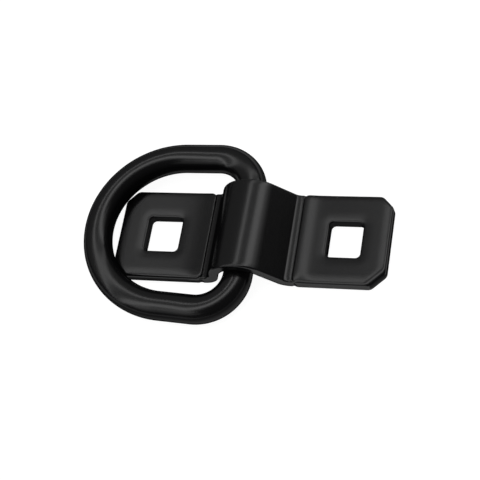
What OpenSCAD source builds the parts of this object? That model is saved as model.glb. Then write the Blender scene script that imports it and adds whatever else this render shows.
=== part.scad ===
/* [Ring] */
// Round bar the ring is forged from
bar_d = 12.7; // [8:0.1:20]
// Gap seen from above between the left pad's end and the inside of the bow
bow_gap = 0.9; // [0.3:0.05:12]
// Radius of the bow, on the bar's centre line
bow_r = 35.65; // [32:0.1:45]
// Radius of the two bends beside the straight bar, on the centre line
bend_r = 16.9; // [12:0.1:24]
// How much further out the bends stand than the bow, each side
flare = 0.5; // [0:0.1:3]
// How far the bar lies to the left of the middle of the saddle
bar_shift = 1.6; // [0:0.1:3]
// Gap between the straight bar and the deck below it
bar_lift = 0.15; // [0:0.05:1]
// Gap left between the resting bow and the left pad's corners
rest_gap = 0.6; // [0.3:0.05:0.8]

/* [Pads] */
// Length of the bracket over both pads
bracket_l = 122; // [112:0.5:160]
// Width of the pads
pad_w = 41.6; // [36:0.1:60]
// Thickness of the pads
pad_t = 4.8; // [4.4:0.1:8]
// Inner edge of the left pad, from the middle of the saddle
left_edge_x = 18.4; // [17.9:0.1:21]
// Inner edge of the right pad, from the middle of the saddle
right_edge_x = 20.6; // [19:0.1:24]
// Cut across the outer corners
corner_cut = 5.2; // [2:0.1:9]
// Cut across the right pad's front corner
front_cut = 6.2; // [2:0.1:9]
// Rounding of the outer corners
corner_r = 3.2; // [1:0.1:4]
// Rounding of the inner corners beside the saddle
inner_corner_r = 2.8; // [1:0.1:6]
// Rolled top edge
top_round = 1.3; // [0.6:0.1:1.8]
// Broken bottom edge
bottom_break = 0.4; // [0.1:0.1:1]

/* [Bolt holes] */
// Middle of the left square hole, from the middle of the saddle
left_hole_x = 40.0; // [36:0.1:46]
// Middle of the right square hole, from the middle of the saddle
right_hole_x = 41.8; // [36:0.1:46]
// Width of the left hole along the bracket
left_hole_w = 15.4; // [13.5:0.1:18]
// Width of the right hole along the bracket
right_hole_w = 14.5; // [13.5:0.1:18]
// Depth of both holes across the bracket
hole_l = 16.0; // [13.5:0.1:18]
// Rounding of the hole corners
hole_r = 2.0; // [0.5:0.1:3]
// Rolled lip at the top of the holes
hole_lip = 0.9; // [0.4:0.1:1.6]

/* [Saddle] */
// Thickness of the strip bent over the bar
strip_t = 4.4; // [3:0.1:4.6]
// How much narrower than the pads the strip is, each side
strip_inset = 0.2; // [0.1:0.1:2]
// Rounding of the strip's long edges
strip_round = 0.9; // [0.3:0.1:1.4]
// Radius of the crest, on the strip's middle line
crest_r = 12.8; // [12.6:0.1:16]
// Height of the crest's centre above the deck
crest_z = 4.2; // [3.5:0.1:8]
// Slope of the left flank
left_slope = 74; // [60:1:80]
// Slope of the right flank
right_slope = 46; // [40:1:60]
// Hollow radius at the foot of the left flank, on the middle line
left_foot_r = 5.2; // [4.6:0.1:8]
// Hollow radius at the foot of the right flank, on the middle line
right_foot_r = 8.4; // [4.6:0.1:12]

/* [Hidden] */
bar_r = bar_d / 2;
bar_z = bar_r + bar_lift;
half_bar = bow_r + flare - bend_r;
half_l = bracket_l / 2;
ring_reach = half_l + bow_gap + bar_r - bar_shift;
bow_back = ring_reach - bow_r;
bow_span = norm([bow_back - bend_r, half_bar]);
leg_l = sqrt(pow(bow_span, 2) - pow(bow_r - bend_r, 2));
leg_lean = atan2(half_bar, bow_back - bend_r) + acos((bow_r - bend_r) / bow_span);
bow_x = bar_shift + bow_back;
strip_w = pad_w - 2 * strip_inset;

// The bow rests on the rounded, rolled corners of the left pad, found in the plane through the
// bow's centre and the corner
corner_trim = corner_r * tan(22.5);
corner_x = half_l - corner_r - bow_x;
corner_y = pad_w / 2 - corner_cut - corner_trim;
corner_reach = norm([corner_x, corner_y]) + corner_r;
contact_out = bow_r - corner_reach + top_round;
contact_up = sqrt(max(pow(bar_r + top_round + rest_gap, 2) - pow(contact_out, 2), 0));
contact_arm = ring_reach - bow_r * (1 - corner_x / norm([corner_x, corner_y]));
rest_tilt = max(asin((pad_t - top_round + contact_up - bar_z) / contact_arm), 0);

hole_clear = 1;
thin = 0.01;
tuck = 3;
lap = 0.3;
shoulder = 0.02;
arc_steps = 6;

// Length of a straight flank of the saddle between crest and foot
function flank_l(slope, foot_r) =
    (crest_z - strip_t / 2 - foot_r * (1 - cos(slope)) + crest_r * cos(slope)) / sin(slope);

// Run of one side of the saddle from the crest to the end of the foot bend
function foot_x(slope, foot_r) =
    (crest_r + foot_r) * sin(slope) + flank_l(slope, foot_r) * cos(slope);

// Points of an arc about a centre, both ends included
function arc(x, y, r, from, to) =
    [for (i = [0 : arc_steps]) let (a = from + (to - from) * i / arc_steps)
        [x + r * cos(a), y + r * sin(a)]];

// Outer corner cut across, with both ends of the cut rounded, turning from one side to the next
function cut_corner(s, c) =
    let (w = pad_w / 2,
        end = arc(half_l - corner_r, s * (w - c - corner_trim), corner_r, 0, s * 45),
        side = arc(half_l - c - corner_trim, s * (w - corner_r), corner_r, s * 45, s * 90))
    s > 0 ? concat(end, side)
          : concat([for (i = [arc_steps : -1 : 0]) side[i]], [for (i = [arc_steps : -1 : 0]) end[i]]);

// Outline of a pad seen from above
module pad_outline(inner_x, front) {
    w = pad_w / 2 - inner_corner_r;
    x = inner_x + inner_corner_r;
    polygon(concat(cut_corner(-1, front), cut_corner(1, corner_cut),
        arc(x, w, inner_corner_r, 90, 180), arc(x, -w, inner_corner_r, 180, 270)));
}

// Plate section with two rolled top edges and broken bottom edges
module plate_section(x0, x1) {
    r = top_round;
    b = bottom_break;
    polygon([[x0, b], [x0 + b, 0], [x1 - b, 0], [x1, b], [x1, pad_t - r], [x0, pad_t - r]]);
    translate([x0 + r, pad_t - 2 * r]) square([x1 - x0 - 2 * r, 2 * r]);
    for (x = [x0 + r, x1 - r]) translate([x, pad_t - r]) circle(r = r, $fn = 48);
}

// Endless plate with its rolled edges facing along a direction in the deck plane
module rolled_plate(direction, x0, x1) {
    rotate([0, 0, direction]) translate([0, bracket_l, 0]) rotate([90, 0, 0])
        linear_extrude(height = 2 * bracket_l) plate_section(x0, x1);
}

// One flat pad with all its outer top edges rolled
module pad_slab(inner_x, front) {
    diagonal = half_l + pad_w / 2;
    intersection() {
        linear_extrude(height = pad_t) pad_outline(inner_x, front);
        rolled_plate(0, inner_x, half_l);
        rolled_plate(90, -pad_w / 2, pad_w / 2);
        rolled_plate(45, -diagonal, (diagonal - corner_cut) * sqrt(0.5));
        rolled_plate(-45, -diagonal, (diagonal - front) * sqrt(0.5));
    }
}

// Outline of a square hole with rounded corners
module hole_outline(w, grow) {
    x = w / 2 + grow - hole_r;
    y = hole_l / 2 + grow - hole_r;
    polygon(concat(arc(x, -y, hole_r, -90, 0), arc(x, y, hole_r, 0, 90),
        arc(-x, y, hole_r, 90, 180), arc(-x, -y, hole_r, 180, 270)));
}

// Square punch with the drawn-in lip at the top
module punch(w) {
    translate([0, 0, -hole_clear]) linear_extrude(height = pad_t + 2 * hole_clear) hole_outline(w, 0);
    hull() {
        translate([0, 0, pad_t - hole_lip]) linear_extrude(height = thin) hole_outline(w, 0);
        translate([0, 0, pad_t]) linear_extrude(height = thin) hole_outline(w, hole_lip / 2);
    }
}

// Cross section of the strip, across the bracket by its thickness, drawn in by a given amount
module strip_section(draw_in = 0) {
    a = strip_w / 2 - draw_in;
    b = strip_t / 2 - draw_in;
    r = strip_round;
    polygon([[-a, -b], [a, -b], [a, b - r], [a - r * 0.293, b - r * 0.293], [a - r, b],
        [-a + r, b], [-a + r * 0.293, b - r * 0.293], [-a, b - r]]);
}

// Straight run of the strip along X, starting just inside the piece before the origin
module strip_run(l) {
    translate([-lap, 0, 0]) rotate([90, 0, 90]) linear_extrude(height = l + 2 * lap)
        strip_section(shoulder);
}

// Bend of the strip about the Y axis, starting at the top and turning down to the right
module strip_bend(radius, angle, hollow) {
    rotate([90, 0, 0]) rotate_extrude(angle = angle, start = 90 - angle, $fn = 96)
        translate([radius, 0]) rotate([0, 0, hollow ? 90 : -90]) strip_section();
}

// One side of the saddle, from the crest down to the foot and into the pad
module saddle_side(slope, foot_r) {
    l = flank_l(slope, foot_r);
    translate([0, 0, crest_z]) strip_bend(crest_r, slope, false);
    translate([crest_r * sin(slope), 0, crest_z + crest_r * cos(slope)])
        rotate([0, slope, 0]) strip_run(l);
    translate([foot_x(slope, foot_r), 0, strip_t / 2 + foot_r])
        rotate([0, 180, 0]) strip_bend(foot_r, slope, true);
    translate([foot_x(slope, foot_r), 0, strip_t / 2]) strip_run(tuck);
}

// Pressed bracket: two punched pads joined by the saddle
module mounting_bracket() {
    color("#26272a") difference() {
        union() {
            pad_slab(right_edge_x, front_cut);
            mirror([1, 0, 0]) pad_slab(left_edge_x, corner_cut);
            saddle_side(right_slope, right_foot_r);
            mirror([1, 0, 0]) saddle_side(left_slope, left_foot_r);
        }
        translate([right_hole_x, 0, 0]) punch(right_hole_w);
        translate([-left_hole_x, 0, 0]) punch(left_hole_w);
    }
}

// Bend of round bar about the Z axis
module bar_bend(radius, from, to) {
    rotate_extrude(angle = to - from, start = from, $fn = 96)
        translate([radius, 0]) circle(d = bar_d, $fn = 40);
}

// Straight length of round bar along Y from the origin, drawn in by a given amount
module bar_run(l, draw_in = 0) {
    rotate([-90, 0, 0]) cylinder(h = l, r = bar_r - draw_in, $fn = 40);
}

// Leg leaning out from the bow to a bend, with its ends just inside both
module bar_leg() {
    translate([-bow_back, 0, 0]) rotate([0, 0, leg_lean])
        translate([bow_r, -leg_l - lap, 0]) bar_run(leg_l + 2 * lap, shoulder);
}

// Forged ring lying to the left, its straight bar through the saddle
module d_ring() {
    color("#1f2022") translate([-bar_shift, 0, bar_z]) rotate([0, rest_tilt, 0]) {
        translate([0, -half_bar, 0]) bar_run(2 * half_bar);
        translate([-bend_r, half_bar, 0]) bar_bend(bend_r, 0, leg_lean);
        translate([-bend_r, -half_bar, 0]) bar_bend(bend_r, 360 - leg_lean, 360);
        bar_leg();
        mirror([0, 1, 0]) bar_leg();
        translate([-bow_back, 0, 0]) bar_bend(bow_r, leg_lean, 360 - leg_lean);
    }
}

mounting_bracket();
d_ring();
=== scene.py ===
import math
import bmesh
import bpy
from mathutils import Matrix, Vector


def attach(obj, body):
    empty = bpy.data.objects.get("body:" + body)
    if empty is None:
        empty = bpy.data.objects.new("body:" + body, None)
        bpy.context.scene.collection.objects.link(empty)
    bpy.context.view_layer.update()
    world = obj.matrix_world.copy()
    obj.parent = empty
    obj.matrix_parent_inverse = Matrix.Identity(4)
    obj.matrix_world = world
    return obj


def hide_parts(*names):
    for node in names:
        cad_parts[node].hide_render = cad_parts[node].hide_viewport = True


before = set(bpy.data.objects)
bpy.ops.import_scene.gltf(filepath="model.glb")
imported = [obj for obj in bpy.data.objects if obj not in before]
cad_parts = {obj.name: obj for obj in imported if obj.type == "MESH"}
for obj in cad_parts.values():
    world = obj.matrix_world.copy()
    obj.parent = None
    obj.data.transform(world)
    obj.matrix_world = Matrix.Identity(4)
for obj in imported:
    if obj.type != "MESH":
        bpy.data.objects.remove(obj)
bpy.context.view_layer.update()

# Sizes of the real parts are in millimetres, X along the bracket, Z up from the deck
MM = 0.001

# Ring
BAR_R = 6.35
BOW_R = 35.65
BEND_R = 16.9
FLARE = 0.5
RING_REACH = 66.65
BAR_SHIFT = 1.6
BAR_Z = 6.5
REST_TILT = 3.44
BAR_SIDES = 72
STEP_ALONG_BAR = 1.2

# Pads
HALF_LENGTH = 61.0
HALF_WIDTH = 20.8
PAD_T = 4.8
LEFT_EDGE = 18.4
RIGHT_EDGE = 21.1
CORNER_CUT = 5.2
FRONT_CUT = 6.2
CORNER_R = 3.2
INNER_CORNER_R = 2.8
LEFT_INNER_ROUND = 0.25
TOP_ROUND = 1.3
FRONT_SPREAD = 1.6
BOTTOM_BREAK = 0.4
LEFT_DISH = (0.2, 5.0)
RIGHT_DISH = (0.16, 5.0)
FRONT_SAG = (0.27, 4.8)
BACK_SAG = (0.1, 3.0)
SAG_CORNER_R = 9.0
FOOT_RISE = (-0.28, 9.5)
HOLLOW = 0.19
CROWN_UP = 0.04
LEFT_SET = 0.09
RIGHT_SET = 0.038
SET_START = 0.022
SET_EASE = 0.016
GRAIN_SCALE = 1100.0
GRAIN_HEIGHT = 0.000003
RIDGE_H = 0.44
RIDGE_AT = 4.4
RIDGE_RUN = 5.0

# Bolt holes
LEFT_HOLE_X = 40.0
RIGHT_HOLE_X = 41.8
LEFT_HOLE_W = 15.4
RIGHT_HOLE_W = 14.5
HOLE_L = 16.0
HOLE_R = 2.0
HOLE_LIP = 1.1
BORE_EDGE = 0.5
# Share of rough sheared steel and painted shade on the left pad's sheared sides and on the front cut's wall
SIDE_TORN_AND_SHADE = 0.9
CUT_TORN_AND_SHADE = 0.95

# Saddle strip, measured on the middle line of its thickness
STRIP_T = 4.4
STRIP_HALF_W = 20.6
STRIP_ROUND = 0.9
STRIP_BREAK = 0.3
CREST_TOP = 17.0
LEFT_CREST_R = 12.8
RIGHT_CREST_R = 11.3
LEFT_SLOPE = 74
RIGHT_SLOPE = 48
LEFT_FOOT = ((0, 5.2),)
RIGHT_FOOT = ((26, 3.0), (0, 8.2))
RIGHT_FOOT_UP = 0.35
TUCK = 3.0
TAIL_INSET = 0.15

# The photograph's camera about the bracket: angles in degrees, distances in millimetres
AZIMUTH = 38.194
ELEVATION = 59.244
ROLL = -32.198
DISTANCE = 551.7
AIM_X = -5.86
AIM_Y = 0.40
LENS = 95.23
SENSOR = 36.0

# Height of the softboxes over the deck, in metres
LIGHT_HEIGHT = 3.0

# Stations round each pad: along a side, on a round of a corner and along its cut
SIDE_STEPS = 26
ROUND_STEPS = 9
CUT_STEPS = 6
TOP_ROWS = 16
BEND_STEP = 2.0


def linear(hex_colour):
    """An sRGB hex colour as linear RGBA."""
    parts = [int(hex_colour[i:i + 2], 16) / 255 for i in (1, 3, 5)]
    return tuple(c / 12.92 if c < 0.04045 else ((c + 0.055) / 1.055) ** 2.4 for c in parts) + (1.0,)


def arc(x, y, r, start, end, steps):
    """Points on a round, both ends included; angles in degrees."""
    turns = [math.radians(start + (end - start) * i / steps) for i in range(steps + 1)]
    return [(x + r * math.cos(a), y + r * math.sin(a)) for a in turns]


def along(start, end, count):
    """Points strictly between two points."""
    a, b = Vector(start), Vector(end)
    return [tuple(a.lerp(b, i / (count + 1))) for i in range(1, count + 1)]


def joined(corners):
    """Closed outline that runs straight from each corner to the next."""
    points = []
    for corner, following in zip(corners, corners[1:] + corners[:1]):
        points += corner + along(corner[-1], following[0], SIDE_STEPS)
    return points


def round_corner(x, y, r, start):
    """Corner rounded in one sweep, with as many points as a cut corner."""
    return arc(x, y, r, start, start + 90, 2 * ROUND_STEPS + CUT_STEPS + 1)


def cut_corner(side, cut, inset):
    """Outer corner cut across, with both ends of the cut rounded; the front ones are rolled wider."""
    cut += inset * FRONT_SPREAD if side < 0 else 0
    r = max(CORNER_R - inset, 0.3)
    shift = (inset + r) * math.tan(math.radians(22.5))
    end = (HALF_LENGTH - inset - r, side * (HALF_WIDTH - cut - shift))
    flank = (HALF_LENGTH - cut - shift, side * (HALF_WIDTH - inset - r))
    first = arc(*end, r, 0, side * 45, ROUND_STEPS)
    second = arc(*flank, r, side * 45, side * 90, ROUND_STEPS)
    points = first + along(first[-1], second[0], CUT_STEPS) + second
    return points if side > 0 else points[::-1]


def pad_ring(edge, inset):
    """Outline of a pad drawn in by a distance, seen from above."""
    r = max(INNER_CORNER_R - inset, 0.3)
    x = edge + r + inset * (1 if edge == RIGHT_EDGE else LEFT_INNER_ROUND)
    y = HALF_WIDTH - inset - r
    return joined([cut_corner(-1, FRONT_CUT if edge == RIGHT_EDGE else CORNER_CUT, inset),
                   cut_corner(1, CORNER_CUT, inset),
                   round_corner(x, y, r, 90), round_corner(x, -y, r, 180)])


def hole_ring(middle, width, outset):
    """Outline of a square hole widened by a distance."""
    x, y = width / 2 - HOLE_R, HOLE_L / 2 - HOLE_R
    r = HOLE_R + outset
    return joined([round_corner(middle + x, -y, r, -90), round_corner(middle + x, y, r, 0),
                   round_corner(middle - x, y, r, 90), round_corner(middle - x, -y, r, 180)])


def hole_distance(x, y, middle, width):
    """Distance outside a square hole with rounded corners."""
    across, by = abs(x - middle) - width / 2 + HOLE_R, abs(y) - HOLE_L / 2 + HOLE_R
    return math.hypot(max(across, 0), max(by, 0)) + min(max(across, by), 0) - HOLE_R


def rim_distance(x, y):
    """Distance inside the outer end and the front edge of a pad, rounded where they meet."""
    out, front = x - HALF_LENGTH + SAG_CORNER_R, -y - HALF_WIDTH + SAG_CORNER_R
    return SAG_CORNER_R - math.hypot(max(out, 0), max(front, 0)) - min(max(out, front), 0)


def top_height(x, y, edge, middle, width):
    """Height of a pad's pressed top: dished at the hole, sagging at the edges, ridged by the saddle."""
    right = edge == RIGHT_EDGE
    falls = [(RIGHT_DISH if right else LEFT_DISH, max(hole_distance(x, y, middle, width), 0)),
             (FRONT_SAG, max(rim_distance(x, y), 0)), (BACK_SAG, HALF_WIDTH - y)]
    z = PAD_T + CROWN_UP + HOLLOW * (y / HALF_WIDTH) ** 2 - sum(drop * max(0, 1 - d / band) ** 2 for (drop, band), d in falls)
    if right:
        t = (x - edge - RIDGE_AT) / RIDGE_RUN
        return z + RIDGE_H / (1 + math.exp(4 * t)) - RIDGE_H / 2 * max(0, 1 - (x - edge) / RIDGE_AT) ** 2
    drop, band = FOOT_RISE
    return z - drop * max(0, 1 - (x - edge) / band) ** 2


def pad_rows(edge, middle, width):
    """Closed rings of a pad pierced by its hole: up the hole, over the top, down the side and back below."""
    def on_top(points, drop=0.0):
        return [(x, y, top_height(x, y, edge, middle, width) - drop) for x, y in points]

    rows = [[(x, y, z) for x, y in hole_ring(middle, width, d)]
            for d, z in ((BOTTOM_BREAK, 0), (0, BOTTOM_BREAK), (0, PAD_T / 3), (0, PAD_T - 2))]
    for a in (math.radians(t) for t in range(0, 91, 10)):
        rows.append(on_top(hole_ring(middle, width, HOLE_LIP * (1 - math.cos(a))), HOLE_LIP * (1 - math.sin(a))))
    inside, outside = hole_ring(middle, width, HOLE_LIP), pad_ring(edge, TOP_ROUND)
    for i in range(1, TOP_ROWS):
        rows.append(on_top([tuple(Vector(a).lerp(Vector(b), i / TOP_ROWS)) for a, b in zip(inside, outside)]))
    for a in (math.radians(t) for t in range(0, 91, 9)):
        rows.append(on_top(pad_ring(edge, TOP_ROUND * (1 - math.sin(a))), TOP_ROUND * (1 - math.cos(a))))
    rows += [[(x, y, z) for x, y in pad_ring(edge, d)]
             for d, z in ((0, PAD_T / 2), (0, BOTTOM_BREAK), (BOTTOM_BREAK, 0), (3.4, 0))]
    rows.append([(x, y, 0) for x, y in hole_ring(middle, width, 3.6)])
    return rows


def skin(name, rows, closed, mirrored=False):
    """Mesh over rings of points, closed end to end or capped."""
    count = len(rows[0])
    turn = -1 if mirrored else 1
    verts = [(turn * x * MM, y * MM, z * MM) for row in rows for x, y, z in row]
    faces = []
    for i in range(len(rows) if closed else len(rows) - 1):
        a, b = i * count, (i + 1) % len(rows) * count
        faces += [(a + j, a + (j + 1) % count, b + (j + 1) % count, b + j) for j in range(count)]
    if not closed:
        faces += [tuple(range(count)), tuple(range(len(verts) - count, len(verts)))]
    mesh = bpy.data.meshes.new(name)
    mesh.from_pydata(verts, [], faces)
    bm = bmesh.new()
    bm.from_mesh(mesh)
    bmesh.ops.recalc_face_normals(bm, faces=bm.faces)
    bm.to_mesh(mesh)
    bm.free()
    obj = bpy.data.objects.new(name, mesh)
    bpy.context.scene.collection.objects.link(obj)
    return obj


def strip_side(crest_r, slope, foot, up):
    """Middle line of one side of the saddle as (x, z, angle), from the crest to inside the pad.

    The foot is a row of hollow bends, each as the slope it ends at and its radius.
    """
    steps = round(slope / BEND_STEP)
    line = []
    for i in range(steps + 1):
        a = math.radians(slope * i / steps)
        line.append((crest_r * math.sin(a), CREST_TOP - crest_r * (1 - math.cos(a)), a))
    slopes = [math.radians(a) for a in [slope] + [end for end, r in foot]]
    bends = list(zip(slopes, slopes[1:], [r for end, r in foot]))
    z = STRIP_T / 2 + up + sum(r * (math.cos(b) - math.cos(a)) for a, b, r in bends)
    x = line[-1][0] + (line[-1][1] - z) / math.tan(slopes[0])
    for a, b, r in bends:
        steps = round(math.degrees(a - b) / BEND_STEP)
        for t in (a + (b - a) * i / steps for i in range(steps + 1)):
            line.append((x + r * (math.sin(a) - math.sin(t)), z - r * (math.cos(t) - math.cos(a)), t))
        x, z, _ = line[-1]
    return line, x


def strip_loop(draw_in):
    """Cross section of the strip as (across, up) from its middle line."""
    w, t, top, low = STRIP_HALF_W - draw_in, STRIP_T / 2 - draw_in, STRIP_ROUND, STRIP_BREAK
    corners = [arc(w - top, t - top, top, 0, 90, 8), arc(top - w, t - top, top, 90, 180, 8),
               arc(low - w, low - t, low, 180, 270, 3), arc(w - low, low - t, low, 270, 360, 3)]
    points = []
    for corner, following, count in zip(corners, corners[1:] + corners[:1], (24, 2, 6, 2)):
        points += corner + along(corner[-1], following[0], count)
    return points


def strip_rows():
    """Rings of the saddle strip from inside the left pad to inside the right pad."""
    stations = []
    for side, crest_r, slope, foot, up, edge in (
            (-1, LEFT_CREST_R, LEFT_SLOPE, LEFT_FOOT, 0, LEFT_EDGE),
            (1, RIGHT_CREST_R, RIGHT_SLOPE, RIGHT_FOOT, RIGHT_FOOT_UP, RIGHT_EDGE)):
        line, foot_x = strip_side(crest_r, slope, foot, up)
        half = [(side * x, z, side * a, TAIL_INSET if x > edge + 1 else 0) for x, z, a in line]
        tail, z = max(foot_x, edge) + 0.1, STRIP_T / 2 + up
        half += [(side * tail, z, 0, 0 if tail < edge + 1 else TAIL_INSET),
                 (side * (tail + 0.4), z, 0, TAIL_INSET), (side * (tail + TUCK), z, 0, TAIL_INSET)]
        stations = half[::-1] if side < 0 else stations + half[1:]
    rows = []
    for x, z, a, inset in stations:
        rows.append([(x + up * math.sin(a), across, z + up * math.cos(a))
                     for across, up in strip_loop(inset)])
    return rows


def fuse(target, others):
    """Union of closed solids, made exactly."""
    for other in others:
        union = target.modifiers.new("union", "BOOLEAN")
        union.operation = "UNION"
        union.solver = "EXACT"
        union.object = other
    fused = bpy.data.meshes.new_from_object(target.evaluated_get(bpy.context.evaluated_depsgraph_get()))
    target.modifiers.clear()
    target.data = fused
    for other in others:
        bpy.data.objects.remove(other)


def mark_torn_and_shaded_walls(obj):
    """Attribute for rough sheared steel and painted shade: 1 on the walls of the holes, less on the pads' sheared
    sides.
    """
    values = []
    for v in obj.data.vertices:
        x, y, z = (c / MM for c in v.co)
        middle, width = (RIGHT_HOLE_X, RIGHT_HOLE_W) if x > 0 else (LEFT_HOLE_X, LEFT_HOLE_W)
        depth = hole_distance(abs(x), y, middle, width)
        # The left pad's sheared sides: rougher steel, and painted shade that cuts their gloss
        side = SIDE_TORN_AND_SHADE if x < -LEFT_EDGE - 0.3 and z < PAD_T - TOP_ROUND else 0
        # The right pad's front cut: rougher steel, and painted shade that cuts its gloss down most of the wall
        if x > HALF_LENGTH - FRONT_CUT and -y > HALF_WIDTH - FRONT_CUT and BOTTOM_BREAK < z < PAD_T - 0.5:
            side = CUT_TORN_AND_SHADE
        values.append(min(max((BORE_EDGE - depth) / BORE_EDGE, side), 1))
    obj.data.attributes.new("punched", "FLOAT", "POINT").data.foreach_set("value", values)


def shade(obj, material, crease):
    """Smooth shading with sharp creases, and the piece's material."""
    obj.data.shade_smooth()
    obj.data.set_sharp_from_angle(angle=math.radians(crease))
    obj.data.materials.clear()
    obj.data.materials.append(material)


def build_bracket(material):
    """Pressed bracket: two pads pierced by their holes, and the saddle strip in one skin."""
    right = skin("pad_right", pad_rows(RIGHT_EDGE, RIGHT_HOLE_X, RIGHT_HOLE_W), True)
    left = skin("pad_left", pad_rows(LEFT_EDGE, LEFT_HOLE_X, LEFT_HOLE_W), True, mirrored=True)
    bracket = skin("bracket_plate", strip_rows(), False)
    fuse(bracket, [right, left])
    mark_torn_and_shaded_walls(bracket)
    shade(bracket, material, 35)
    return bracket


def ring_path():
    """Centre line of the ring in its own plane, from the bend at the back round the bow."""
    half_bar, bow_x = BOW_R + FLARE - BEND_R, BOW_R - RING_REACH
    span = math.hypot(-BEND_R - bow_x, half_bar)
    lean = math.degrees(math.atan2(half_bar, -BEND_R - bow_x) + math.acos((BOW_R - BEND_R) / span))
    bend = round(BEND_R * math.radians(lean) / STEP_ALONG_BAR)
    bow = round(BOW_R * math.radians(360 - 2 * lean) / STEP_ALONG_BAR)
    sweeps = [arc(-BEND_R, half_bar, BEND_R, 0, lean, bend),
              arc(bow_x, 0, BOW_R, lean, 360 - lean, bow),
              arc(-BEND_R, -half_bar, BEND_R, 360 - lean, 360, bend)]
    points = []
    for sweep, following in zip(sweeps, sweeps[1:] + sweeps[:1]):
        gap = math.dist(sweep[-1], following[0])
        points += sweep + along(sweep[-1], following[0], round(gap / STEP_ALONG_BAR))
    return points


def sweep_nodes(material):
    """Node group that sweeps a round bar along the path it is given."""
    group = bpy.data.node_groups.new("round_bar", "GeometryNodeTree")
    face = group.interface
    face.new_socket("Path", in_out="INPUT", socket_type="NodeSocketGeometry")
    radius = face.new_socket("Bar Radius", in_out="INPUT", socket_type="NodeSocketFloat")
    sides = face.new_socket("Sides", in_out="INPUT", socket_type="NodeSocketInt")
    face.new_socket("Bar", in_out="OUTPUT", socket_type="NodeSocketGeometry")
    start, end = (group.nodes.new(k) for k in ("NodeGroupInput", "NodeGroupOutput"))
    curve, circle, sweep, smooth, realize, paint = (group.nodes.new(k) for k in (
        "GeometryNodeMeshToCurve", "GeometryNodeCurvePrimitiveCircle", "GeometryNodeCurveToMesh",
        "GeometryNodeSetShadeSmooth", "GeometryNodeRealizeInstances", "GeometryNodeSetMaterial"))
    paint.inputs["Material"].default_value = material
    for source, target in ((start.outputs["Path"], curve.inputs["Mesh"]),
                           (start.outputs["Bar Radius"], circle.inputs["Radius"]),
                           (start.outputs["Sides"], circle.inputs["Resolution"]),
                           (curve.outputs["Curve"], sweep.inputs["Curve"]),
                           (circle.outputs["Curve"], sweep.inputs["Profile Curve"]),
                           (sweep.outputs["Mesh"], smooth.inputs["Geometry"]),
                           (smooth.outputs["Geometry"], realize.inputs["Geometry"]),
                           (realize.outputs["Geometry"], paint.inputs["Geometry"]),
                           (paint.outputs["Geometry"], end.inputs["Bar"])):
        group.links.new(source, target)
    return group, radius.identifier, sides.identifier


def build_ring(material):
    """Forged ring: round bar swept along its closed path."""
    tilt = Matrix.Rotation(math.radians(REST_TILT), 4, "Y")
    place = Matrix.Translation((-BAR_SHIFT, 0, BAR_Z)) @ tilt
    verts = [tuple((place @ Vector((x, y, 0))) * MM) for x, y in ring_path()]
    edges = [(i, (i + 1) % len(verts)) for i in range(len(verts))]
    path = bpy.data.meshes.new("ring_bar")
    path.from_pydata(verts, edges, [])
    ring = bpy.data.objects.new("ring_bar", path)
    bpy.context.scene.collection.objects.link(ring)
    group, radius, sides = sweep_nodes(material)
    sweep = ring.modifiers.new("sweep", "NODES")
    sweep.node_group = group
    sweep[radius] = BAR_R * MM
    sweep[sides] = BAR_SIDES
    swept = bpy.data.meshes.new_from_object(ring.evaluated_get(bpy.context.evaluated_depsgraph_get()))
    ring.modifiers.clear()
    ring.data = swept
    return ring


def add_camera():
    """Camera at the photograph's view, rolled as the photograph is."""
    az, el, roll = (math.radians(a) for a in (AZIMUTH, ELEVATION, ROLL))
    back = Vector((math.sin(az) * math.cos(el), -math.cos(az) * math.cos(el), math.sin(el)))
    right = Vector((math.cos(az), math.sin(az), 0))
    up = back.cross(right)
    side = right * math.cos(roll) + up * math.sin(roll)
    top = up * math.cos(roll) - right * math.sin(roll)
    data = bpy.data.cameras.new("camera")
    data.lens = LENS
    data.sensor_width = SENSOR
    camera = bpy.data.objects.new("camera", data)
    turn = Matrix((side, top, back)).transposed().to_4x4()
    camera.matrix_world = Matrix.Translation((back * DISTANCE + Vector((AIM_X, AIM_Y, 0))) * MM) @ turn
    bpy.context.scene.collection.objects.link(camera)
    bpy.context.scene.camera = camera


def add_softbox(name, across, run, size, radiance):
    """Softbox hung level over the bracket, its long side along the studio's diagonal.

    across and run place its middle, in metres from the point above the bracket: across to the
    back left, run to the back right.
    """
    data = bpy.data.lights.new(name, "AREA")
    data.shape = "RECTANGLE"
    data.size, data.size_y = size
    data.energy = radiance * math.pi * size[0] * size[1]
    light = bpy.data.objects.new(name, data)
    turn = Matrix.Rotation(math.radians(-45), 4, "Z")
    place = turn @ Vector((0, run, 0)) + turn @ Vector((-across, 0, 0))
    light.matrix_world = Matrix.Translation(place + Vector((0, 0, LIGHT_HEIGHT))) @ turn
    bpy.context.scene.collection.objects.link(light)


def add_node(tree, kind, inputs=None, links=(), **settings):
    """Add a shader node with its settings, input values and incoming links."""
    node = tree.nodes.new(kind)
    for key, value in settings.items():
        setattr(node, key, value)
    for key, value in (inputs or {}).items():
        node.inputs[key].default_value = value
    for key, source in links:
        tree.links.new(source, node.inputs[key])
    return node


def pad_set(tree, along, side, slope):
    """Height by which a pad rises toward its outer end, easing in past the saddle."""
    past = add_node(tree, "ShaderNodeMath", {1: side, 2: -SET_START}, [(0, along)],
                    operation="MULTIPLY_ADD")
    pad = add_node(tree, "ShaderNodeMath", {1: 0.0}, [(0, past.outputs[0])], operation="MAXIMUM")
    square = add_node(tree, "ShaderNodeMath", {1: 2.0}, [(0, pad.outputs[0])], operation="POWER")
    eased = add_node(tree, "ShaderNodeMath", {1: SET_EASE}, [(0, pad.outputs[0])], operation="ADD")
    run = add_node(tree, "ShaderNodeMath", links=[(0, square.outputs[0]), (1, eased.outputs[0])],
                   operation="DIVIDE")
    rise = add_node(tree, "ShaderNodeMath", {1: slope}, [(0, run.outputs[0])], operation="MULTIPLY")
    return rise.outputs[0]


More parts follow.
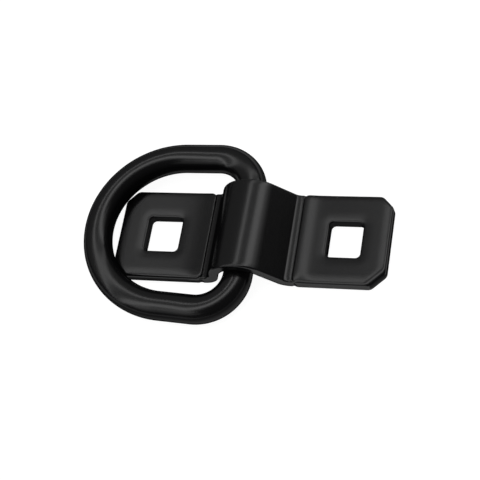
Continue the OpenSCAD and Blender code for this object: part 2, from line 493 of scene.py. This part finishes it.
def satin_black(name, steep_gloss_in_shade, under_gloss_in_shade):
    """Satin black coat with a fine grain. Its gloss fades where it is seen edge on: painted shade on the rims, in
    place of the bright floor they would mirror.

    Both pads are set up a little toward their outer ends, which only their gloss gives away.
    """
    m = bpy.data.materials.new(name)
    m.use_nodes = True
    tree = m.node_tree
    b = tree.nodes["Principled BSDF"]
    b.inputs["Base Color"].default_value = linear("#0d0d0e")
    # Painted shade on rims: the specular level drops from 0.5 face on to nothing edge on
    edge_on = add_node(tree, "ShaderNodeLayerWeight", {"Blend": 0.5})
    edge_on_shade = add_node(tree, "ShaderNodeMapRange",
                    {"From Min": 0.1, "From Max": 0.72, "To Min": 0.5, "To Max": 0.0},
                    [("Value", edge_on.outputs["Facing"])], interpolation_type="SMOOTHSTEP")
    # Hole walls and sheared sides: rougher steel, and their gloss cut to 12 % as painted shade
    punched = add_node(tree, "ShaderNodeAttribute", attribute_name="punched")
    torn_wall_shade = add_node(tree, "ShaderNodeMapRange", {"To Min": 1.0, "To Max": 0.12},
                    [("Value", punched.outputs["Fac"])])
    gloss = add_node(tree, "ShaderNodeMath",
                     links=[(0, edge_on_shade.outputs["Result"]), (1, torn_wall_shade.outputs["Result"])],
                     operation="MULTIPLY")
    place = add_node(tree, "ShaderNodeTexCoord")
    surface = add_node(tree, "ShaderNodeNewGeometry")
    facing = add_node(tree, "ShaderNodeSeparateXYZ", links=[("Vector", surface.outputs["Normal"])])
    # Painted shade: gloss cut on steeply sloping and downward sides, where the floor they mirror lies in shade; 1
    # and 0 leave the gloss whole
    steep_side_shade = add_node(tree, "ShaderNodeMapRange",
                     {"From Min": 0.45, "From Max": 0.75, "To Min": steep_gloss_in_shade, "To Max": 1.0},
                     [("Value", facing.outputs["Z"])])
    under = add_node(tree, "ShaderNodeMapRange",
                     {"From Min": 0.12, "From Max": 0.42, "To Min": under_gloss_in_shade, "To Max": 0.0},
                     [("Value", facing.outputs["Z"])])
    sides = add_node(tree, "ShaderNodeMath",
                     links=[(0, steep_side_shade.outputs["Result"]), (1, under.outputs["Result"])], operation="ADD")
    level = add_node(tree, "ShaderNodeMath", links=[(0, gloss.outputs[0]), (1, sides.outputs[0])],
                     operation="MULTIPLY")
    tree.links.new(level.outputs[0], b.inputs["Specular IOR Level"])
    split = add_node(tree, "ShaderNodeSeparateXYZ", links=[("Vector", place.outputs["Object"])])
    right = pad_set(tree, split.outputs["X"], 1.0, RIGHT_SET)
    left = pad_set(tree, split.outputs["X"], -1.0, LEFT_SET)
    pads = add_node(tree, "ShaderNodeMath", links=[(0, right), (1, left)], operation="ADD")
    grain = add_node(tree, "ShaderNodeTexNoise", {"Scale": GRAIN_SCALE, "Detail": 2.0},
                     [("Vector", place.outputs["Object"])])
    rise = add_node(tree, "ShaderNodeMath", {1: GRAIN_HEIGHT},
                    [(0, grain.outputs["Fac"]), (2, pads.outputs[0])], operation="MULTIPLY_ADD")
    coat = add_node(tree, "ShaderNodeMath", {1: 0.06, 2: 0.17}, [(0, grain.outputs["Fac"])],
                    operation="MULTIPLY_ADD")
    rough = add_node(tree, "ShaderNodeMath", {1: 0.25}, [(0, punched.outputs["Fac"]), (2, coat.outputs[0])],
                     operation="MULTIPLY_ADD")
    tree.links.new(rough.outputs[0], b.inputs["Roughness"])
    bump = add_node(tree, "ShaderNodeBump", {"Strength": 1.0, "Distance": 1.0},
                    [("Height", rise.outputs[0])])
    tree.links.new(bump.outputs["Normal"], b.inputs["Normal"])
    return m


def add_floor():
    """Pale studio floor under the part."""
    mesh = bpy.data.meshes.new("floor")
    mesh.from_pydata([(-3, -3, -0.0003), (3, -3, -0.0003), (3, 3, -0.0003), (-3, 3, -0.0003)], [], [(0, 1, 2, 3)])
    floor = bpy.data.objects.new("floor", mesh)
    bpy.context.scene.collection.objects.link(floor)
    m = bpy.data.materials.new("floor_white")
    m.use_nodes = True
    b = m.node_tree.nodes["Principled BSDF"]
    b.inputs["Base Color"].default_value = (0.2, 0.2, 0.2, 1)
    b.inputs["Roughness"].default_value = 1.0
    b.inputs["Emission Color"].default_value = (1, 1, 1, 1)
    b.inputs["Emission Strength"].default_value = 0.95
    mesh.materials.append(m)


add_camera()
bracket = build_bracket(satin_black("satin_black_coat", 1.0, 0.0))
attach(bracket, "bracket")
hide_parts("mounting_bracket")
# The ring gets painted shade: little gloss left on its steeply sloping and downward-facing sides
ring = build_ring(satin_black("satin_black_forging", 0.09, 0.25))
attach(ring, "ring")
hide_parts("d_ring")
add_floor()
add_softbox("thin_strip", 1.28, -10.3, (0.33, 40.0), 2.35)
add_softbox("broad_strip", -0.25, -10.3, (0.75, 40.0), 1.95)
add_softbox("middle_tail", -0.9, 0.2, (0.55, 4.4), 0.4)
add_softbox("front_tail", -1.25, -4.3, (1.25, 4.6), 0.8)
add_softbox("front_far", -2.95, -7.0, (2.1, 8.0), 0.35)
add_softbox("back_shoulder", -0.78, 6.1, (0.31, 7.2), 1.6)
add_softbox("back_tail", -1.42, 7.2, (0.95, 8.4), 0.6)
add_softbox("back_far", -2.75, 9.4, (1.7, 8.4), 0.16)
add_softbox("fill", 0.62, -10.3, (0.99, 40.0), 0.34)
add_softbox("left_edge", 1.5475, -10.3, (0.205, 40.0), 0.34)
add_softbox("left_fill", 8.575, 1.7, (13.85, 16.0), 0.19)
world = bpy.data.worlds.new("studio")
bpy.context.scene.world = world
world.use_nodes = True
world.node_tree.nodes["Background"].inputs["Color"].default_value = (1, 1, 1, 1)
world.node_tree.nodes["Background"].inputs["Strength"].default_value = 0.05
bpy.context.scene.view_settings.view_transform = "Standard"
